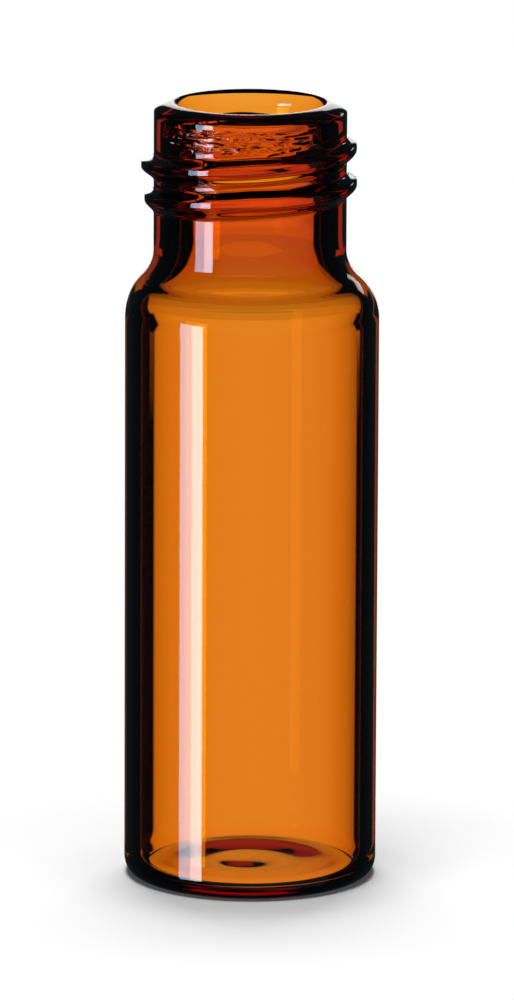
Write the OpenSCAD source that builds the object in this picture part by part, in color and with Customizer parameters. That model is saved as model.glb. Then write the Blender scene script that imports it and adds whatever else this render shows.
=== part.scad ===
// Amber glass sample vial, 4 ml, with a 13-425 screw neck.
// One piece of glass tubing: a thin wall drawn in to a thicker neck, a pressed
// thread, a rounded, fire-polished rim and a closed foot that is pushed up in the middle.
// Millimetres, +Z up, origin at the centre of the ring that the vial stands on.

/* [Body] */
// Outer diameter of the body
body_d = 14.65; // [14:0.05:16]
// Height from the standing ring to the rim
vial_h = 45.5; // [42:0.5:60]
// Wall thickness of the body
wall_t = 0.9; // [0.7:0.05:1.1]

/* [Foot] */
// Width of the rounded heel
heel_w = 0.88; // [0.6:0.02:1.2]
// Height of the rounded heel
heel_h = 1.15; // [0.8:0.05:1.5]
// Glass thickness at the edge of the floor
foot_t = 0.7; // [0.5:0.05:1.2]
// Width of the rounded corner between floor and wall
corner_w = 0.5; // [0.4:0.05:1.6]
// Height of the rounded corner between floor and wall
corner_h = 1.2; // [0.5:0.05:1.8]
// Inner diameter of the standing ring
ring_d = 10.3; // [8:0.1:12]
// Height of the push-up under the middle
pushup_h = 0.27; // [0.1:0.01:0.4]
// Rise of the floor towards the middle
floor_rise = 0.3; // [0:0.05:0.5]
// Diameter of the gather mark, a dimple in the middle of the floor
gather_d = 3.15; // [2:0.05:4]
// Depth of the gather mark
gather_h = 0.15; // [0.05:0.05:0.25]

/* [Neck] */
// Outer diameter of the neck between the threads (E)
neck_d = 11.1; // [10.9:0.05:11.4]
// Diameter of the mouth bore
bore_d = 8.2; // [8:0.1:8.8]
// Height from the rim down to the start of the shoulder
neck_h = 8.6; // [8.2:0.1:10]
// Height of the curved shoulder
shoulder_h = 4.0; // [3.5:0.1:5]
// Share of the shoulder's height that is the hollow curve under the neck
hollow_share = 0.37; // [0.3:0.01:0.6]
// The same share on the inside of the shoulder
inner_share = 0.66; // [0.4:0.01:0.8]
// How much higher the shoulder starts on the inside
inner_rise = 0.5; // [0:0.05:0.6]
// Width of the rim's fire-polished rounding on the outside
rim_out_w = 0.85; // [0.4:0.05:0.9]
// Height of that rounding
rim_out_h = 0.8; // [0.4:0.05:1]
// Width of the rim's rounding towards the bore
rim_in_w = 0.35; // [0.2:0.05:0.5]
// Height of that rounding
rim_in_h = 0.7; // [0.2:0.05:1]

/* [Thread] */
// Outer diameter over the thread crests (T)
thread_d = 12.35; // [12.1:0.05:12.8]
// Rise of the thread in one turn
pitch = 2.0; // [1.8:0.05:2.2]
// Distance from the rim down to the first full crest
first_crest = 2.0; // [1.8:0.05:2.8]
// Turn over which the ridge stays at its full height, degrees
full_turn = 696; // [450:6:720]
// Turn over which each end of the ridge runs out, degrees
runout_turn = 36; // [24:2:50]
// Width of the ridge at its foot
ridge_w = 1.65; // [1.3:0.05:1.8]
// Share of that width that lies under the crest
crest_place = 0.6; // [0.5:0.02:0.75]
// Share of the ridge's width that is its rounded crest
crest_share = 0.14; // [0:0.02:0.5]

/* [Hidden] */

amber = [0.80, 0.38, 0.06, 0.75];

body_r = body_d / 2;
neck_r = neck_d / 2;
bore_r = bore_d / 2;
inner_r = body_r - wall_t;
ring_r = ring_d / 2;
floor_edge = inner_r - corner_w;
gather_r = gather_d / 2;
shoulder_top = vial_h - neck_h;

// Steps in each rounded corner, in each sweep of the shoulder, and in the foot
corner_steps = 8;
sweep_steps = 14;
foot_steps = 10;

// Thread ridge: height, and how far its root sinks into the neck
ridge_h = thread_d / 2 - neck_r;
root_sink = 0.35;
flank_sink = 0.1;
step_turn = 6;
ridge_steps = 8;
total_turn = full_turn + 2 * runout_turn;
// The ridge's upper end lies at the back, at this bearing from +X
end_bearing = 126;

// Points on an oval arc about (cx, cz), w wide and h high from its middle, from angle a0 to a1
function oval(cx, cz, w, h, a0, a1, steps) =
    [for (i = [0 : steps])
        let (a = a0 + (a1 - a0) * i / steps)
            [cx + w * cos(a), cz + h * sin(a)]];

// The same on a circle
function arc(cx, cz, r, a0, a1, steps) = oval(cx, cz, r, r, a0, a1, steps);

// Turn of each of the two tangent arcs that join two upright walls, rise h and step w apart
function sweep_angle(w, h) = 2 * atan(w / h);

// S-curve going down from (r0, z0) to a wall w further out, h lower.
// The first arc takes the given share of the height.
function sweep_out(r0, z0, w, h, share) =
    let (
        a = sweep_angle(w, h),
        r_sum = h / sin(a),
        r_a = r_sum * share,
        r_b = r_sum - r_a
    )
    concat(
        arc(r0 + r_a, z0, r_a, 180, 180 + a, sweep_steps),
        [for (i = [1 : sweep_steps])
            let (b = a * (1 - i / sweep_steps))
                [r0 + w - r_b * (1 - cos(b)), z0 - h + r_b * sin(b)]]
    );

// Same points, walked the other way
function reversed(path) = [for (i = [len(path) - 1 : -1 : 0]) path[i]];

// Underside: pushed up from the standing ring to the middle
function underside() =
    [for (i = [0 : foot_steps])
        let (s = i / foot_steps)
            [ring_r * s, pushup_h * cos(90 * s)]];

// Floor inside: rises with the push-up and carries the dimple of the gather mark
function floor_z(r) =
    foot_t
    + floor_rise * pow(cos(90 * r / floor_edge), 5)
    - (r < gather_r ? gather_h * pow(cos(90 * r / gather_r), 2) : 0);

function floor_inside() =
    [for (i = [0 : 2 * foot_steps])
        let (r = floor_edge * (1 - i / (2 * foot_steps)))
            [r, floor_z(r)]];

// Half section of the glass, walked up the outside and down the inside
function glass_section() =
    let (in_step = inner_r - bore_r)
    concat(
        underside(),
        oval(body_r - heel_w, heel_h, heel_w, heel_h, -90, 0, corner_steps),
        reversed(sweep_out(neck_r, shoulder_top, body_r - neck_r, shoulder_h, hollow_share)),
        oval(neck_r - rim_out_w, vial_h - rim_out_h, rim_out_w, rim_out_h, 0, 90, corner_steps),
        oval(bore_r + rim_in_w, vial_h - rim_in_h, rim_in_w, rim_in_h, 90, 180, corner_steps),
        sweep_out(bore_r, shoulder_top + inner_rise, in_step, shoulder_h + 0.2, inner_share),
        oval(floor_edge, foot_t + corner_h, corner_w, corner_h, 0, -90, corner_steps),
        floor_inside()
    );

// Height of the ridge across its width, from 0 at its edges to 1 on its crest
function ridge_form(s) =
    let (t = (abs(s) - crest_share) / (1 - crest_share))
        t <= 0 ? 1 : (1 + cos(180 * t)) / 2;

// Height of the ridge along its length, run out at both ends
function run_out(turn) =
    let (t = min(turn, total_turn - turn) / runout_turn)
        t >= 1 ? 1 : sin(90 * t);

// One section of the ridge, standing on the neck at the given turn from its lower end
function ridge_section(turn) =
    let (
        bearing = end_bearing + turn - total_turn,
        z = vial_h - first_crest - pitch * (total_turn - runout_turn - turn) / 360,
        lift = run_out(turn),
        under = ridge_w * crest_place,
        over = ridge_w - under,
        spread = 0.4 + 0.6 * lift,
        across = [for (i = [0 : ridge_steps]) 2 * i / ridge_steps - 1],
        outline = concat(
            [[neck_r - root_sink, -under * 0.9]],
            [for (s = across)
                [neck_r - flank_sink + (ridge_h + flank_sink) * lift * ridge_form(s),
                    s * (s < 0 ? under : over) * spread]],
            [[neck_r - root_sink, over * 0.9]]
        )
    )
    [for (p = outline) [p[0] * cos(bearing), p[0] * sin(bearing), z + p[1]]];

module thread_ridge() {
    turns = [for (t = [0 : step_turn : total_turn]) t];
    rings = len(turns);
    per = ridge_steps + 3;
    points = [for (t = turns) each ridge_section(t)];
    sides = [for (i = [0 : rings - 2]) for (j = [0 : per - 1])
        let (k = (j + 1) % per)
            each [
                [i * per + j, i * per + k, (i + 1) * per + k],
                [i * per + j, (i + 1) * per + k, (i + 1) * per + j]
            ]];
    caps = [
        [for (j = [per - 1 : -1 : 0]) j],
        [for (j = [0 : per - 1]) (rings - 1) * per + j]
    ];
    polyhedron(points = points, faces = concat(sides, caps), convexity = 6);
}

module blown_glass() {
    rotate_extrude($fn = 128)
        polygon(glass_section());
}

module vial() {
    color(amber)
        union() {
            blown_glass();
            thread_ridge();
        }
}

vial();
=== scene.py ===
"""Amber glass sample vial with a screw neck, standing on a white table.

The glass is one closed mesh, revolved from a half section, with the thread raised on the
neck and the creases from forming sunk into it. Lengths are in metres, +Z up.
"""
import math

import bpy
import numpy as np
from mathutils import Matrix, Vector


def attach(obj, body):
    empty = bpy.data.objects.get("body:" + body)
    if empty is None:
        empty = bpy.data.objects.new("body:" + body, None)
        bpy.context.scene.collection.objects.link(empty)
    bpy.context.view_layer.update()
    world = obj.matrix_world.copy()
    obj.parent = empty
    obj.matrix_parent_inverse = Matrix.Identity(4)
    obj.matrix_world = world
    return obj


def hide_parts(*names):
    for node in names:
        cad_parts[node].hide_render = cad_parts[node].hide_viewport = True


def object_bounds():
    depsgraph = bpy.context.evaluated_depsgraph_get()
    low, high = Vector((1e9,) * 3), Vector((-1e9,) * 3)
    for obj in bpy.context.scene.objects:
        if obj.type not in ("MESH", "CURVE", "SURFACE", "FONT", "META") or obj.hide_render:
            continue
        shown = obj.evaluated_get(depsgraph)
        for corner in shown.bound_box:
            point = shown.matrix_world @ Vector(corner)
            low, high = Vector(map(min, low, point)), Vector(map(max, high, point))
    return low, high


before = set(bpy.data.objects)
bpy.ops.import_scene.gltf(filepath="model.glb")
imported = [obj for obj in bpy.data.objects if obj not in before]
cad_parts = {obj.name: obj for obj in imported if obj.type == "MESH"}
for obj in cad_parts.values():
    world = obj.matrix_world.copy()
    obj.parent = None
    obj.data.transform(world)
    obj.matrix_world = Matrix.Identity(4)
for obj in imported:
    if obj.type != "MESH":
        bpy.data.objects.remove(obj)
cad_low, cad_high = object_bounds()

MM = 0.001

# ---------------------------------------------------------------- sizes of the glass
BODY_R = 7.325 * MM
VIAL_H = cad_high[2]
WALL = 0.9 * MM
INNER_R = BODY_R - WALL

HEEL_W = 0.947 * MM
HEEL_H = 1.102 * MM
HEEL_POWER = 2.23
FOOT_T = 0.702 * MM
CORNER_W = 0.491 * MM
CORNER_H = 1.158 * MM
CORNER_POWER = 2.45
RING_R = 5.617 * MM
# the pushed-up underside and the floor: shares of the way out from the middle, and
# heights in mm over the standing ring and over the floor's edge. These two rows of
# heights, the heel and the corner come from fitting traced rays to the photo's borders.
UNDER_AT = (0.0, 0.3, 0.55, 0.8, 1.0)
UNDER_UP = (0.114, 0.199, 0.195, 0.084, 0.0)
FLOOR_AT = (0.0, 0.13, 0.26, 0.42, 0.62, 0.82, 1.0)
FLOOR_UP = (0.154, 0.152, 0.136, 0.142, 0.227, 0.143, 0.0)
# the gather mark in the middle of the foot lies a little to one side
GATHER_ASIDE = -0.6 * MM
GATHER_REACH = 3.0 * MM

NECK_R = 5.55 * MM
BORE_R = 4.08 * MM
NECK_H = 8.6 * MM
SHOULDER_H = 4.0 * MM
SHOULDER_TOP = VIAL_H - NECK_H
HOLLOW_SHARE = 0.37
INNER_SHARE = 0.66
INNER_RISE = 0.65 * MM
INNER_SHOULDER_H = 4.33 * MM
RIM_OUT_W = 1.09 * MM
RIM_OUT_H = 0.54 * MM
RIM_OUT_POWER = 1.5
RIM_IN_W = 0.32 * MM
RIM_IN_H = 1.08 * MM
RIM_IN_POWER = 1.4
# the drawn-in neck stands a little to one side of the body's axis
NECK_ASIDE = -0.14 * MM

PITCH = 2.0 * MM
# bearings of the ridge's two ends, unwound round the neck from +X, and their run-out
TOP_END = 126.0
LOW_END = -645.0
RUNOUT_TURN = 36.0
CREST_SHARE = 0.16
# share of its width that the ridge has at the very end of its run-out
END_WIDTH = 0.4
# height of the helix where it crosses +X for the last time
CREST_Z = VIAL_H - 2.522 * MM
# the moulded ridge is uneven, in mm: bearing, height, width over and under its crest,
# and how far the crest lies above the helix. It was fitted to the photo and then set one by one.
RIDGE_FORM = (
    (-630, 0.60, 0.66, 0.95, 0.10),
    (-540, 0.53, 0.50, 0.98, 0.00),
    (-450, 0.67, 0.85, 1.10, 0.18),
    (-360, 0.585, 0.50, 0.98, -0.06),
    (-270, 0.62, 0.66, 1.05, 0.04),
    (-180, 0.725, 0.50, 0.98, -0.07),
    (-120, 0.70, 0.73, 0.98, 0.00),
    (-90, 0.67, 0.85, 1.06, 0.04),
    (-60, 0.64, 0.73, 1.00, 0.03),
    (0, 0.565, 0.50, 0.98, 0.00),
    (90, 0.54, 0.70, 0.95, -0.10),
)

# creases in the front of the neck, in bands: how many, middle and half width of the band
# under the rim in mm, shortest and longest half length in degrees, greatest depth in mm
MARK_SEED = 11
MARK_REACH = (-150, -50)
# their half height in mm, share of the greatest depth, and lean in mm a degree
MARK_HALF_HIGH = (0.065, 0.095)
MARK_DEPTH_SHARE = (0.8, 1.0)
MARK_LEAN = (-0.01, 0.02)
# the lower this power, the blunter the ends of a crease
MARK_END_POWER = 0.3
MARK_BANDS = (
    (46, 1.10, 0.26, 2, 5.5, 0.21),
    (20, 1.55, 0.07, 2, 5.5, 0.21),
    (52, 1.98, 0.12, 2, 6, 0.21),
)
# the mesh is finer between these heights, where most of the creases lie
MARKS_LOW = VIAL_H - 2.3 * MM
MARKS_TOP = VIAL_H - 0.75 * MM

# ---------------------------------------------------------------- fineness of the mesh
COLUMNS = 240
UNDER_ROWS = 26
FLOOR_ROWS = 40
CORNER_STEPS = 16
SWEEP_STEPS = 18
RIM_STEPS = 18
WALL_STEPS = 10
THREAD_STEPS = 112
MARK_STEPS = 56
NECK_TOP_STEPS = 6
# gap between two rows where the mesh is fine, and between a rounding and the next row
FINE_GAP = 0.03 * MM
EDGE_GAP = 0.15 * MM

# ---------------------------------------------------------------- the photograph's view
FRAME_W, FRAME_H = 514, 1000
EYE_DISTANCE = 0.520
EYE_ELEVATION = math.radians(12.2)
EYE_TARGET = Vector((0.0, 0.0, 0.0225))
PIXELS_PER_METRE = 17280
ROLL = math.radians(0.25)
TARGET_X, TARGET_Y = 251.35, 493.9


# ---------------------------------------------------------------- half section
def oval(cx, cz, w, h, a0, a1, steps, power=2.0):
    """Points on an oval arc about (cx, cz), w wide and h high from its middle.

    The angles a0 and a1 are in degrees. A power under 2 draws the oval in between its
    four ends, and a power over 2 fills it out.
    """
    a = np.radians(np.linspace(a0, a1, steps + 1))
    across, up = np.cos(a), np.sin(a)
    return np.c_[
        cx + w * np.copysign(np.abs(across) ** (2 / power), across),
        cz + h * np.copysign(np.abs(up) ** (2 / power), up),
    ]


def arc(cx, cz, r, a0, a1, steps):
    """The same on a circle."""
    return oval(cx, cz, r, r, a0, a1, steps)


def straight(r, z0, z1, steps):
    """Points on an upright wall, without its two ends."""
    z = np.linspace(z0, z1, steps + 1)[1:-1]
    return np.c_[np.full_like(z, r), z]


def sweep_out(r0, z0, w, h, share, steps):
    """S-curve going down from (r0, z0) to a wall w further out and h lower."""
    a = 2 * math.atan2(w, h)
    r_sum = h / math.sin(a)
    r_a = r_sum * share
    r_b = r_sum - r_a
    upper = arc(r0 + r_a, z0, r_a, 180, 180 + math.degrees(a), steps)
    b = a * (1 - np.arange(1, steps + 1) / steps)
    lower = np.c_[r0 + w - r_b * (1 - np.cos(b)), z0 - h + r_b * np.sin(b)]
    return np.vstack([upper, lower])


def quarter_wave(r, size):
    """1 in the middle, falling to 0 at the given radius and staying there."""
    return np.cos(np.pi / 2 * np.clip(r / size, 0, 1))


def smooth_curve(at, heights, x):
    """Smooth curve through the heights, level at both of its ends."""
    at, heights = np.array(at), np.array(heights)
    gap = np.diff(at)
    rise = np.diff(heights) / gap
    n = len(at)
    rows = np.eye(n)
    pull = np.zeros(n)
    for i in range(1, n - 1):
        rows[i, i - 1:i + 2] = 1 / gap[i - 1], 2 / gap[i - 1] + 2 / gap[i], 1 / gap[i]
        pull[i] = 3 * (rise[i - 1] / gap[i - 1] + rise[i] / gap[i])
    slope = np.linalg.solve(rows, pull)
    x = np.clip(x, at[0], at[-1])
    i = np.clip(np.searchsorted(at, x, side="right") - 1, 0, n - 2)
    t = (x - at[i]) / gap[i]
    start, end = heights[i], heights[i + 1]
    bend = t * (1 - t) * ((1 - t) * slope[i] - t * slope[i + 1]) * gap[i]
    return start + (end - start) * t * t * (3 - 2 * t) + bend


def under_z(r):
    """Height of the underside, pushed up inside the standing ring."""
    return smooth_curve(UNDER_AT, UNDER_UP, r / RING_R) * MM


def floor_z(r):
    """Height of the floor inside."""
    return FOOT_T + smooth_curve(FLOOR_AT, FLOOR_UP, r / (INNER_R - CORNER_W)) * MM


def outside():
    """Outer half section, from the middle of the underside up to the rim's land."""
    r = np.linspace(0, RING_R, UNDER_ROWS)
    neck_top = VIAL_H - RIM_OUT_H
    step_out = BODY_R - NECK_R
    shoulder = sweep_out(NECK_R, SHOULDER_TOP, step_out, SHOULDER_H, HOLLOW_SHARE, SWEEP_STEPS)
    return np.vstack([
        np.c_[r, under_z(r)],
        oval(BODY_R - HEEL_W, HEEL_H, HEEL_W, HEEL_H, -90, 0, CORNER_STEPS, HEEL_POWER),
        straight(BODY_R, HEEL_H, HEEL_H + 2 * EDGE_GAP, 2),
        straight(BODY_R, HEEL_H + EDGE_GAP, SHOULDER_TOP - SHOULDER_H, WALL_STEPS),
        shoulder[::-1],
        straight(NECK_R, SHOULDER_TOP, MARKS_LOW, THREAD_STEPS),
        straight(NECK_R, MARKS_LOW - FINE_GAP, MARKS_TOP, MARK_STEPS),
        straight(NECK_R, MARKS_TOP - FINE_GAP, neck_top, NECK_TOP_STEPS),
        oval(NECK_R - RIM_OUT_W, neck_top, RIM_OUT_W, RIM_OUT_H, 0, 90, RIM_STEPS, RIM_OUT_POWER),
    ])


def inside():
    """Inner half section, from the rim's land down to the middle of the floor."""
    floor_edge = INNER_R - CORNER_W
    corner_top = FOOT_T + CORNER_H
    r = np.linspace(floor_edge, 0, FLOOR_ROWS)
    bore_top = VIAL_H - RIM_IN_H
    sweep_top = SHOULDER_TOP + INNER_RISE
    step_out = INNER_R - BORE_R
    corner = oval(floor_edge, corner_top, CORNER_W, CORNER_H, 0, -90, CORNER_STEPS, CORNER_POWER)
    return np.vstack([
        oval(BORE_R + RIM_IN_W, bore_top, RIM_IN_W, RIM_IN_H, 90, 180, CORNER_STEPS, RIM_IN_POWER),
        straight(BORE_R, bore_top, sweep_top, WALL_STEPS),
        sweep_out(BORE_R, sweep_top, step_out, INNER_SHOULDER_H, INNER_SHARE, SWEEP_STEPS),
        straight(INNER_R, sweep_top - INNER_SHOULDER_H, corner_top + EDGE_GAP, WALL_STEPS),
        straight(INNER_R, corner_top + 2 * EDGE_GAP, corner_top, 2),
        corner[:-1],
        np.c_[r, floor_z(r)],
    ])


def ridge_lift(bearing, z):
    """How far the thread stands out of the neck, at a bearing from +X and a height."""
    lift = np.zeros(np.broadcast(bearing, z).shape)
    turns, heights, overs, unders, shifts = np.array(RIDGE_FORM).T
    for lap in range(-2, 1):
        turn = bearing + 360.0 * lap
        crest = CREST_Z + PITCH * turn / 360 + np.interp(turn, turns, shifts) * MM
        ends = np.clip(np.minimum(turn - LOW_END, TOP_END - turn) / RUNOUT_TURN, 0, 1)
        run = np.sin(np.pi / 2 * ends)
        over = np.interp(turn, turns, overs)
        under = np.interp(turn, turns, unders)
        reach = np.where(z > crest, over, under) * MM * (END_WIDTH + (1 - END_WIDTH) * run)
        t = np.clip((np.abs(z - crest) / reach - CREST_SHARE) / (1 - CREST_SHARE), 0, 1)
        height = np.interp(turn, turns, heights) * MM * run
        lift = np.maximum(lift, height * (1 + np.cos(np.pi * t)) / 2)
    return lift


def forming_marks(bearing, z):
    """Depth of the short creases that the forming tools left in the neck.

    Each one deepens evenly upwards and ends in a sharp step.
    """
    rng = np.random.default_rng(MARK_SEED)
    depth = np.zeros(np.broadcast(bearing, z).shape)
    for count, height, spread, long_low, long_high, deepest in MARK_BANDS:
        for _ in range(count):
            at_bearing = rng.uniform(*MARK_REACH)
            at_height = VIAL_H - (height + spread * rng.uniform(-1, 1)) * MM
            half_long = rng.uniform(long_low, long_high)
            half_high = rng.uniform(*MARK_HALF_HIGH) * MM
            deep = rng.uniform(*MARK_DEPTH_SHARE) * deepest * MM
            lean = rng.uniform(*MARK_LEAN) * MM
            aside = (bearing - at_bearing + 180) % 360 - 180
            along = quarter_wave(np.abs(aside), half_long) ** MARK_END_POWER
            rise = (z - at_height - lean * aside) / half_high
            across = np.where(np.abs(rise) < 1, (1 + rise) / 2, 0)
            depth = np.maximum(depth, deep * along * across)
    return depth


def from_gather(x, y):
    """Distance from the middle of the foot, which the gather mark draws to one side."""
    pull = quarter_wave(np.hypot(x, y), GATHER_REACH) ** 2
    return np.hypot(x - GATHER_ASIDE * pull, y)


def glass_mesh(columns):
    """The whole vial as one closed mesh."""
    outer, inner = outside(), inside()
    path = np.vstack([outer, inner])
    bearing = np.linspace(0, 360, columns, endpoint=False)[None, :]
    r = np.repeat(path[:, :1], columns, axis=1)
    z = np.repeat(path[:, 1:], columns, axis=1)
    on_neck = (np.arange(len(path)) < len(outer))[:, None] & (z > SHOULDER_TOP)
    r = r + np.where(on_neck, ridge_lift(bearing, z) - forming_marks(bearing, z), 0)
    a = np.radians(bearing)
    rise = np.clip((z - SHOULDER_TOP + SHOULDER_H) / SHOULDER_H, 0, 1)
    x = r * np.cos(a) + NECK_ASIDE * rise * rise * (3 - 2 * rise)
    y = r * np.sin(a)
    away = from_gather(x, y)
    z[:UNDER_ROWS] = under_z(away[:UNDER_ROWS])
    z[-FLOOR_ROWS:] = floor_z(away[-FLOOR_ROWS:])
    rows = slice(1, len(path) - 1)
    ring_points = np.stack([x, y, z], axis=-1)[rows].reshape(-1, 3)
    poles = np.array([[0, 0, z[0, 0]], [0, 0, z[-1, 0]]])
    points = np.vstack([ring_points, poles])
    n = len(path) - 2
    first, last = len(ring_points), len(ring_points) + 1
    faces = []
    for i in range(n - 1):
        for j in range(columns):
            k = (j + 1) % columns
            low, high = i * columns, (i + 1) * columns
            faces.append((low + j, low + k, high + k, high + j))
    top = (n - 1) * columns
    for j in range(columns):
        k = (j + 1) % columns
        faces.append((first, k, j))
        faces.append((last, top + j, top + k))
    mesh = bpy.data.meshes.new("vial_glass")
    mesh.from_pydata(points.tolist(), [], faces)
    mesh.shade_smooth()
    mesh.update()
    return mesh


# ---------------------------------------------------------------- nodes
class Nodes:
    """Small helper that writes sums with nodes."""

    def __init__(self, tree):
        self.tree = tree

    def math(self, operation, *values):
        """One sum of values, each a number or a socket."""
        node = self.tree.nodes.new("ShaderNodeMath")
        node.operation = operation
        for socket, value in zip(node.inputs, values):
            if isinstance(value, (int, float)):
                socket.default_value = value
            else:
                self.tree.links.new(value, socket)
        return node.outputs[0]

    def counted(self, value, low, high):
        """1 for a whole number from low to high."""
        above = self.math("GREATER_THAN", value, low - 0.5)
        return self.math("MULTIPLY", above, self.math("LESS_THAN", value, high + 0.5))

    def between(self, value, low, high, soft):
        """1 between low and high, with soft edges."""
        up = self.math("DIVIDE", self.math("SUBTRACT", value, low - soft / 2), soft)
        down = self.math("DIVIDE", self.math("SUBTRACT", high + soft / 2, value), soft)
        edge = self.math("MINIMUM", up, down)
        return self.math("MINIMUM", self.math("MAXIMUM", edge, 0.0), 1.0)

    def scaled(self, colour, value):
        """A colour times a value."""
        node = self.tree.nodes.new("ShaderNodeVectorMath")
        node.operation = "SCALE"
        node.inputs[0].default_value = colour
        self.tree.links.new(value, node.inputs["Scale"])
        return node.outputs[0]

    def brighter(self, first, second):
        """The brighter of two colours, channel by channel."""
        node = self.tree.nodes.new("ShaderNodeVectorMath")
        node.operation = "MAXIMUM"
        self.tree.links.new(first, node.inputs[0])
        self.tree.links.new(second, node.inputs[1])
        return node.outputs[0]


# ---------------------------------------------------------------- materials
# how strongly a millimetre of the glass takes up red, green and blue, set so that the body
# has the photo's colour in front of a window of strength 1
ABSORPTION = (0.06, 0.78, 2.6)
GLASS_IOR = 1.5
TABLE_COLOUR = (0.95, 0.95, 0.95, 1.0)
# share of the table's white that the camera sees even in the deepest shadow
TABLE_GLOW = 0.06


def new_material(name):
    """An empty material and its node tree."""
    material = bpy.data.materials.new(name)
    material.use_nodes = True
    material.node_tree.nodes.clear()
    return material, material.node_tree


def amber_glass():
    """Clear glass, coloured by what its depth takes up."""
    material, tree = new_material("amber_glass")
    out = tree.nodes.new("ShaderNodeOutputMaterial")
    shader = tree.nodes.new("ShaderNodeBsdfPrincipled")
    shader.inputs["Base Color"].default_value = (1.0, 1.0, 1.0, 1.0)
    shader.inputs["Transmission Weight"].default_value = 1.0
    shader.inputs["Roughness"].default_value = 0.0
    shader.inputs["IOR"].default_value = GLASS_IOR
    volume = tree.nodes.new("ShaderNodeVolumeAbsorption")
    strongest = max(ABSORPTION)
    passed = [1 - a / strongest for a in ABSORPTION]
    volume.inputs["Color"].default_value = (*passed, 1)
    volume.inputs["Density"].default_value = strongest / MM
    tree.links.new(shader.outputs[0], out.inputs["Surface"])
    tree.links.new(volume.outputs[0], out.inputs["Volume"])
    return material


def table_white():
    """White table that takes the vial's shadow, with a faint glow for the camera alone."""
    material, tree = new_material("table_white")
    out = tree.nodes.new("ShaderNodeOutputMaterial")
    diffuse = tree.nodes.new("ShaderNodeBsdfDiffuse")
    diffuse.inputs["Color"].default_value = TABLE_COLOUR
    glow = tree.nodes.new("ShaderNodeEmission")
    path = tree.nodes.new("ShaderNodeLightPath")
    n = Nodes(tree)
    seen_share = n.math("MULTIPLY", path.outputs["Is Camera Ray"], TABLE_GLOW)
    tree.links.new(seen_share, glow.inputs["Strength"])
    both = tree.nodes.new("ShaderNodeAddShader")
    tree.links.new(diffuse.outputs[0], both.inputs[0])
    tree.links.new(glow.outputs[0], both.inputs[1])
    tree.links.new(both.outputs[0], out.inputs["Surface"])
    return material


# ---------------------------------------------------------------- world
# A card: the rays that meet it, bearings low and high, elevations low and high, soft edge
# (all in degrees, bearings from +Y towards +X), strength, bearing at which it has
# faded to nothing (0: it stays even), colour. The windows' edges were measured on the
# borders in the photo, and the room's first strengths were fitted to the table's greys.
WHITE = (1.0, 1.0, 1.0)
BLUISH = (0.6, 0.85, 1.0)
BLUE = (0.32, 0.7, 1.0)
CARDS = [
    # the white surroundings that the camera sees, and the light from above on the table
    (("camera",), -200, 200, -90, 90, 1.0, 1.0, 0, WHITE),
    (("room",), -30, 30, 70, 80, 1.0, 17.4, 0, WHITE),
    (("room",), -30, 30, 80, 86, 1.0, 51.6, 0, WHITE),
    (("room",), -200, -120, 70, 80, 1.0, 12.8, 0, WHITE),
    (("room",), 120, 200, 70, 80, 1.0, 4.6, 0, WHITE),
    (("room",), -200, 120, 80, 86, 1.0, 16.6, 0, WHITE),
    # the lit window behind the vial, seen through the neck, the body and the foot
    (("through",), -16.3, 24.0, -11.0, -6, 1.5, 0.80, 0, WHITE),
    (("through",), -16.3, 24.0, -7, 13, 1.5, 0.66, 0, WHITE),
    (("through",), -16.3, 24.0, 11, 25, 1.5, 0.5, 0, WHITE),
    (("through",), -12.8, 19.5, -35, -9.5, 1.5, 1.0, 29, WHITE),
    (("foot",), -12.8, 19.5, -35, 36, 1.5, 0.45, 29, WHITE),
    (("foot",), -12.8, 19.5, -60, -33, 1.5, 0.3, 29, WHITE),
    (("wall",), -4.5, 12.0, -60, 11, 2.0, 0.5, 0, WHITE),
    (("wall",), -16.0, 23.0, 4, 15, 3.0, 0.5, 0, WHITE),
    (("mouth",), -12.3, 20.3, -28, 24.5, 1.5, 1.0, 0, WHITE),
    (("mirror",), -9.0, 12.0, -6, 25, 2.0, 2.0, 0, WHITE),
    (("mirror",), 24.0, 36.0, 12, 18, 2.0, 2.2, 0, WHITE),
    # two softboxes on the left, in front
    (("mirror", "wall"), -134.9, -123.5, -17, 10.5, 1.0, 14.2, 0, BLUISH),
    (("mirror", "wall"), -124.5, -111.6, -17, 10.5, 1.0, 10.0, 0, BLUE),
    (("echo",), -135.8, -124.0, -17, 8, 1.0, 3.0, 0, BLUISH),
    # the dim room
    (("mirror",), 100, 200, -40, 20, 16.0, 0.15, 0, WHITE),
    (("mirror",), -200, -142, -40, 20, 16.0, 0.15, 0, WHITE),
    (("mirror",), -200, 200, -90, 90, 1.0, 0.03, 0, BLUISH),
    # windows behind the vial for the three other views that are judged, from the front
    # right, the back left and the side; between these directions the glass stays dark
    (("through", "mouth"), -56.7, -25.1, -60, -20, 2.0, 1.0, 0, WHITE),
    (("through", "mouth"), 123.3, 154.9, -60, -8, 2.0, 1.0, 0, WHITE),
    (("through", "mouth"), -101.7, -70.1, -8, 2, 2.0, 1.0, 0, WHITE),
]


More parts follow.
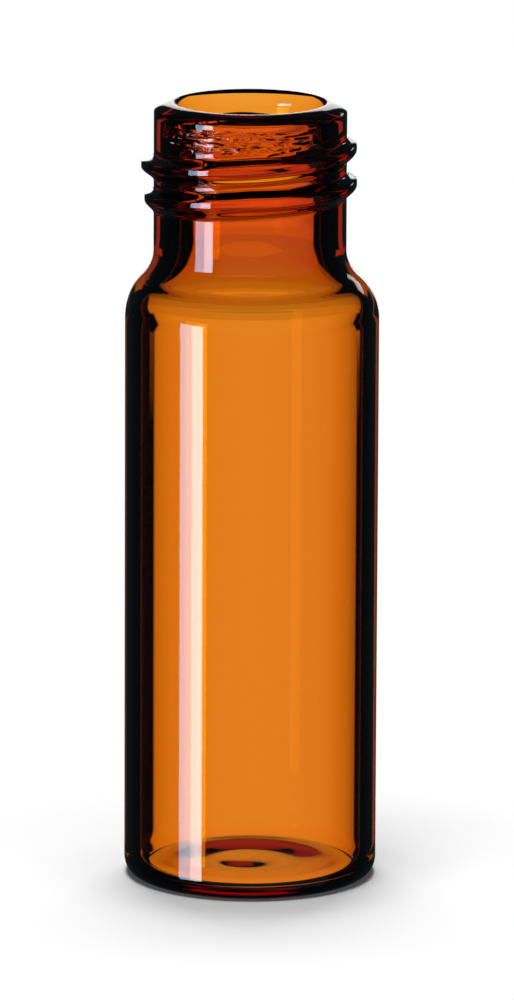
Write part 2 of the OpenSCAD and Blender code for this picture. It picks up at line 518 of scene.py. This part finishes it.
def ray_kinds(n, path):
    """Masks for the rays that reach the world, by what they met before.

    camera: nothing. room: they light the table. The others come out of the glass.
    mirror: turned back by a first surface. mouth: through one wall. wall: turned round
    inside one wall. through: straight through two walls or more. echo: through the front
    wall, turned back by the far one. foot: turned round in the foot. Longer ways stay dark.
    """
    crossings, turns = path.outputs["Transmission Depth"], path.outputs["Glossy Depth"]
    glass = n.math("MAXIMUM", path.outputs["Is Transmission Ray"], path.outputs["Is Glossy Ray"])
    seen = n.math("LESS_THAN", path.outputs["Diffuse Depth"], 0.5)
    straight_on = n.math("MULTIPLY", seen, n.counted(turns, 0, 0))
    turned_once = n.math("MULTIPLY", seen, n.counted(turns, 1, 1))
    turned_more = n.math("MULTIPLY", seen, n.counted(turns, 2, 4))
    foot_once = n.math("MULTIPLY", n.counted(crossings, 5, 6), turned_once)
    foot_more = n.math("MULTIPLY", n.counted(crossings, 3, 6), turned_more)
    camera = path.outputs["Is Camera Ray"]
    not_crossed = n.counted(crossings, 0, 0)
    untouched = n.math("MULTIPLY", not_crossed, n.counted(turns, 0, 0))
    from_table = n.math("SUBTRACT", 1.0, n.math("MAXIMUM", glass, camera))
    from_glass = n.math("MULTIPLY", glass, seen)
    return {
        "camera": camera,
        "room": n.math("MULTIPLY", untouched, from_table),
        "mirror": n.math("MULTIPLY", from_glass, not_crossed),
        "mouth": n.math("MULTIPLY", n.counted(crossings, 1, 2), straight_on),
        "wall": n.math("MULTIPLY", n.counted(crossings, 1, 2), turned_once),
        "through": n.math("MULTIPLY", n.counted(crossings, 3, 32), straight_on),
        "echo": n.math("MULTIPLY", n.counted(crossings, 3, 4), turned_once),
        "foot": n.math("ADD", foot_once, foot_more),
    }


def studio_world():
    """World of cards, each of which lights its own kinds of ray."""
    world = bpy.data.worlds.new("studio")
    world.use_nodes = True
    tree = world.node_tree
    tree.nodes.clear()
    n = Nodes(tree)
    out = tree.nodes.new("ShaderNodeOutputWorld")
    background = tree.nodes.new("ShaderNodeBackground")
    path = tree.nodes.new("ShaderNodeLightPath")
    where = tree.nodes.new("ShaderNodeTexCoord")
    split = tree.nodes.new("ShaderNodeSeparateXYZ")
    tree.links.new(where.outputs["Generated"], split.inputs[0])
    x, y, z = split.outputs
    bearing = n.math("DEGREES", n.math("ARCTAN2", x, y))
    elevation = n.math("DEGREES", n.math("ARCSINE", z))
    masks = ray_kinds(n, path)
    light = None
    for kinds, left, right, floor, roof, soft, strength, fade, colour in CARDS:
        wide = n.between(bearing, left, right, soft)
        tall = n.between(elevation, floor, roof, soft)
        on = n.math("MULTIPLY", wide, tall)
        if fade:
            share = n.math("DIVIDE", bearing, fade)
            on = n.math("MULTIPLY", on, n.math("SUBTRACT", 1.0, n.math("MULTIPLY", share, share)))
        seen = masks[kinds[0]]
        for kind in kinds[1:]:
            seen = n.math("ADD", seen, masks[kind])
        lit = n.math("MULTIPLY", n.math("MULTIPLY", on, seen), strength)
        lit = n.scaled(colour, lit)
        light = n.brighter(light, lit) if light else lit
    tree.links.new(light, background.inputs["Color"])
    background.inputs["Strength"].default_value = 1.0
    tree.links.new(background.outputs[0], out.inputs["Surface"])
    bpy.context.scene.world = world


# ---------------------------------------------------------------- the scene
def link(obj):
    """Put an object into the scene."""
    bpy.context.scene.collection.objects.link(obj)
    return obj


def build_vial():
    vial = link(bpy.data.objects.new("amber_vial", glass_mesh(COLUMNS)))
    vial.data.materials.append(amber_glass())
    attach(vial, "root")
    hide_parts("vial")
    return vial


def build_table():
    half = 3.0
    corners = [(-half, -half, 0), (half, -half, 0), (half, half, 0), (-half, half, 0)]
    mesh = bpy.data.meshes.new("table")
    mesh.from_pydata(corners, [], [(0, 1, 2, 3)])
    table = link(bpy.data.objects.new("table", mesh))
    table.data.materials.append(table_white())
    table.visible_transmission = False
    table.visible_glossy = False
    return table


def build_camera():
    camera = bpy.data.cameras.new("camera")
    camera.sensor_fit = "AUTO"
    camera.sensor_width = 36.0
    camera.lens = PIXELS_PER_METRE * EYE_DISTANCE * camera.sensor_width / FRAME_H
    camera.clip_start = 0.01
    camera.shift_x = -(TARGET_X - FRAME_W / 2) / FRAME_H
    camera.shift_y = (TARGET_Y - FRAME_H / 2) / FRAME_H
    eye = link(bpy.data.objects.new("camera", camera))
    away = Vector((0, -math.cos(EYE_ELEVATION), math.sin(EYE_ELEVATION)))
    eye.location = EYE_TARGET + away * EYE_DISTANCE
    turn = away.to_track_quat("Z", "Y").to_matrix() @ Matrix.Rotation(ROLL, 3, "Z")
    eye.rotation_euler = turn.to_euler()
    bpy.context.scene.camera = eye


scene = bpy.context.scene
scene.view_settings.view_transform = "Standard"
scene.cycles.max_bounces = 32
scene.cycles.transmission_bounces = 32
scene.cycles.glossy_bounces = 16
build_camera()
build_table()
build_vial()
studio_world()
